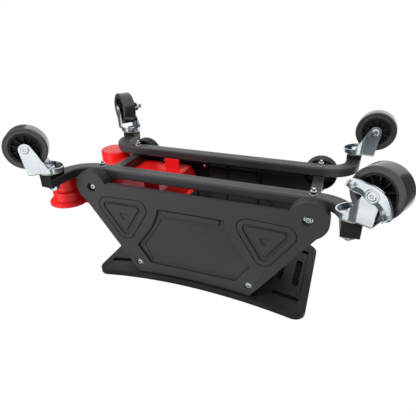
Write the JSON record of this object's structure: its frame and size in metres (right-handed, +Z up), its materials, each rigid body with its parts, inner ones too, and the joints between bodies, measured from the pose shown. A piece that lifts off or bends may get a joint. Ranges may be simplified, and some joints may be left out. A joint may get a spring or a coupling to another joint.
{
  "type": "rolling workshop stool",
  "caption": "Low rolling workshop stool: dished slotted seat on moulded side panels over a bent tube base with swivel casters, and a slide-out tray with cup holders.",
  "frame": {"origin": "on the floor, midway between the caster stems", "axes": "+Z up, +X towards the end where the tray slides out, -Y the front"},
  "size_m": [0.667, 0.4064, 0.3335],
  "materials": {
    "black_steel": "satin black powder coat",
    "panel_plastic": "charcoal, fine moulded texture",
    "seat_plastic": "charcoal, fine moulded texture",
    "black_plastic": "plain black moulding",
    "red_plastic": "glossy red",
    "zinc": "bright zinc plate",
    "race_plastic": "ivory nylon",
    "tyre_rubber": "dark grey rubber",
    "core_plastic": "black moulded core"
  },
  "bodies": {
    "frame": {"front_rail": "black_steel", "rear_rail": "black_steel", "right_cross_tube": "black_steel", "left_cross_tube": "black_steel", "front_right_end_cap": "black_plastic", "front_left_end_cap": "black_plastic", "rear_right_end_cap": "black_plastic", "rear_left_end_cap": "black_plastic", "front_panel": "panel_plastic", "rear_panel": "panel_plastic", "seat": "seat_plastic", "front_tray_runner": "black_plastic", "rear_tray_runner": "black_plastic", "frame_bolts": "zinc", "frame_nuts": "zinc", "ear_bolts": "zinc", "ear_bolt_inserts": "zinc", "seat_bolts": "zinc", "seat_nuts": "zinc", "runner_screws": "zinc", "front_right_caster_stem": "zinc", "front_right_caster_nut": "zinc", "front_right_caster_race": "race_plastic", "front_left_caster_stem": "zinc", "front_left_caster_nut": "zinc", "front_left_caster_race": "race_plastic", "rear_left_caster_stem": "zinc", "rear_left_caster_nut": "zinc", "rear_left_caster_race": "race_plastic", "rear_right_caster_stem": "zinc", "rear_right_caster_nut": "zinc", "rear_right_caster_race": "race_plastic"},
    "tray": {"tray": "red_plastic"},
    "front_right_swivel": {"front_right_caster_fork": "zinc", "front_right_caster_axle": "zinc"},
    "front_right_wheel": {"front_right_caster_core": "core_plastic", "front_right_caster_tyre": "tyre_rubber"},
    "front_left_swivel": {"front_left_caster_fork": "zinc", "front_left_caster_axle": "zinc"},
    "front_left_wheel": {"front_left_caster_core": "core_plastic", "front_left_caster_tyre": "tyre_rubber"},
    "front_left_brake": {"front_left_caster_brake": "zinc"},
    "rear_left_swivel": {"rear_left_caster_fork": "zinc", "rear_left_caster_axle": "zinc"},
    "rear_left_wheel": {"rear_left_caster_core": "core_plastic", "rear_left_caster_tyre": "tyre_rubber"},
    "rear_right_swivel": {"rear_right_caster_fork": "zinc", "rear_right_caster_axle": "zinc"},
    "rear_right_wheel": {"rear_right_caster_core": "core_plastic", "rear_right_caster_tyre": "tyre_rubber"},
    "rear_right_brake": {"rear_right_caster_brake": "zinc"}
  },
  "joints": [
    {"name": "tray_slide", "type": "slide", "parent": "frame", "child": "tray", "axis": [1, 0, 0], "range_m": [0, 0.068]},
    {"name": "front_right_swivel_turn", "type": "hinge", "parent": "frame", "child": "front_right_swivel", "pos_m": [0.26708, -0.14603, 0.093], "axis": [0, 0, 1], "continuous": true},
    {"name": "front_right_wheel_roll", "type": "hinge", "parent": "front_right_swivel", "child": "front_right_wheel", "pos_m": [0.29297, -0.16484, 0.0375], "axis": [0.5878, 0.809, 0], "continuous": true},
    {"name": "front_left_swivel_turn", "type": "hinge", "parent": "frame", "child": "front_left_swivel", "pos_m": [-0.26708, -0.14603, 0.093], "axis": [0, 0, 1], "continuous": true},
    {"name": "front_left_wheel_roll", "type": "hinge", "parent": "front_left_swivel", "child": "front_left_wheel", "pos_m": [-0.29533, -0.16106, 0.0375], "axis": [0.4695, -0.8829, 0], "continuous": true},
    {"name": "front_left_brake_rock", "type": "hinge", "parent": "front_left_swivel", "child": "front_left_brake", "pos_m": [-0.29533, -0.16106, 0.0375], "axis": [0.4695, -0.8829, 0], "range_deg": [-12, 12]},
    {"name": "rear_left_swivel_turn", "type": "hinge", "parent": "frame", "child": "rear_left_swivel", "pos_m": [-0.26708, 0.14603, 0.093], "axis": [0, 0, 1], "continuous": true},
    {"name": "rear_left_wheel_roll", "type": "hinge", "parent": "rear_left_swivel", "child": "rear_left_wheel", "pos_m": [-0.2989, 0.14269, 0.0375], "axis": [0.1045, -0.9945, 0], "continuous": true},
    {"name": "rear_right_swivel_turn", "type": "hinge", "parent": "frame", "child": "rear_right_swivel", "pos_m": [0.26708, 0.14603, 0.093], "axis": [0, 0, 1], "continuous": true},
    {"name": "rear_right_wheel_roll", "type": "hinge", "parent": "rear_right_swivel", "child": "rear_right_wheel", "pos_m": [0.29229, 0.16573, 0.0375], "axis": [-0.6157, 0.788, 0], "continuous": true},
    {"name": "rear_right_brake_rock", "type": "hinge", "parent": "rear_right_swivel", "child": "rear_right_brake", "pos_m": [0.29229, 0.16573, 0.0375], "axis": [-0.6157, 0.788, 0], "range_deg": [-12, 12]}
  ]
}
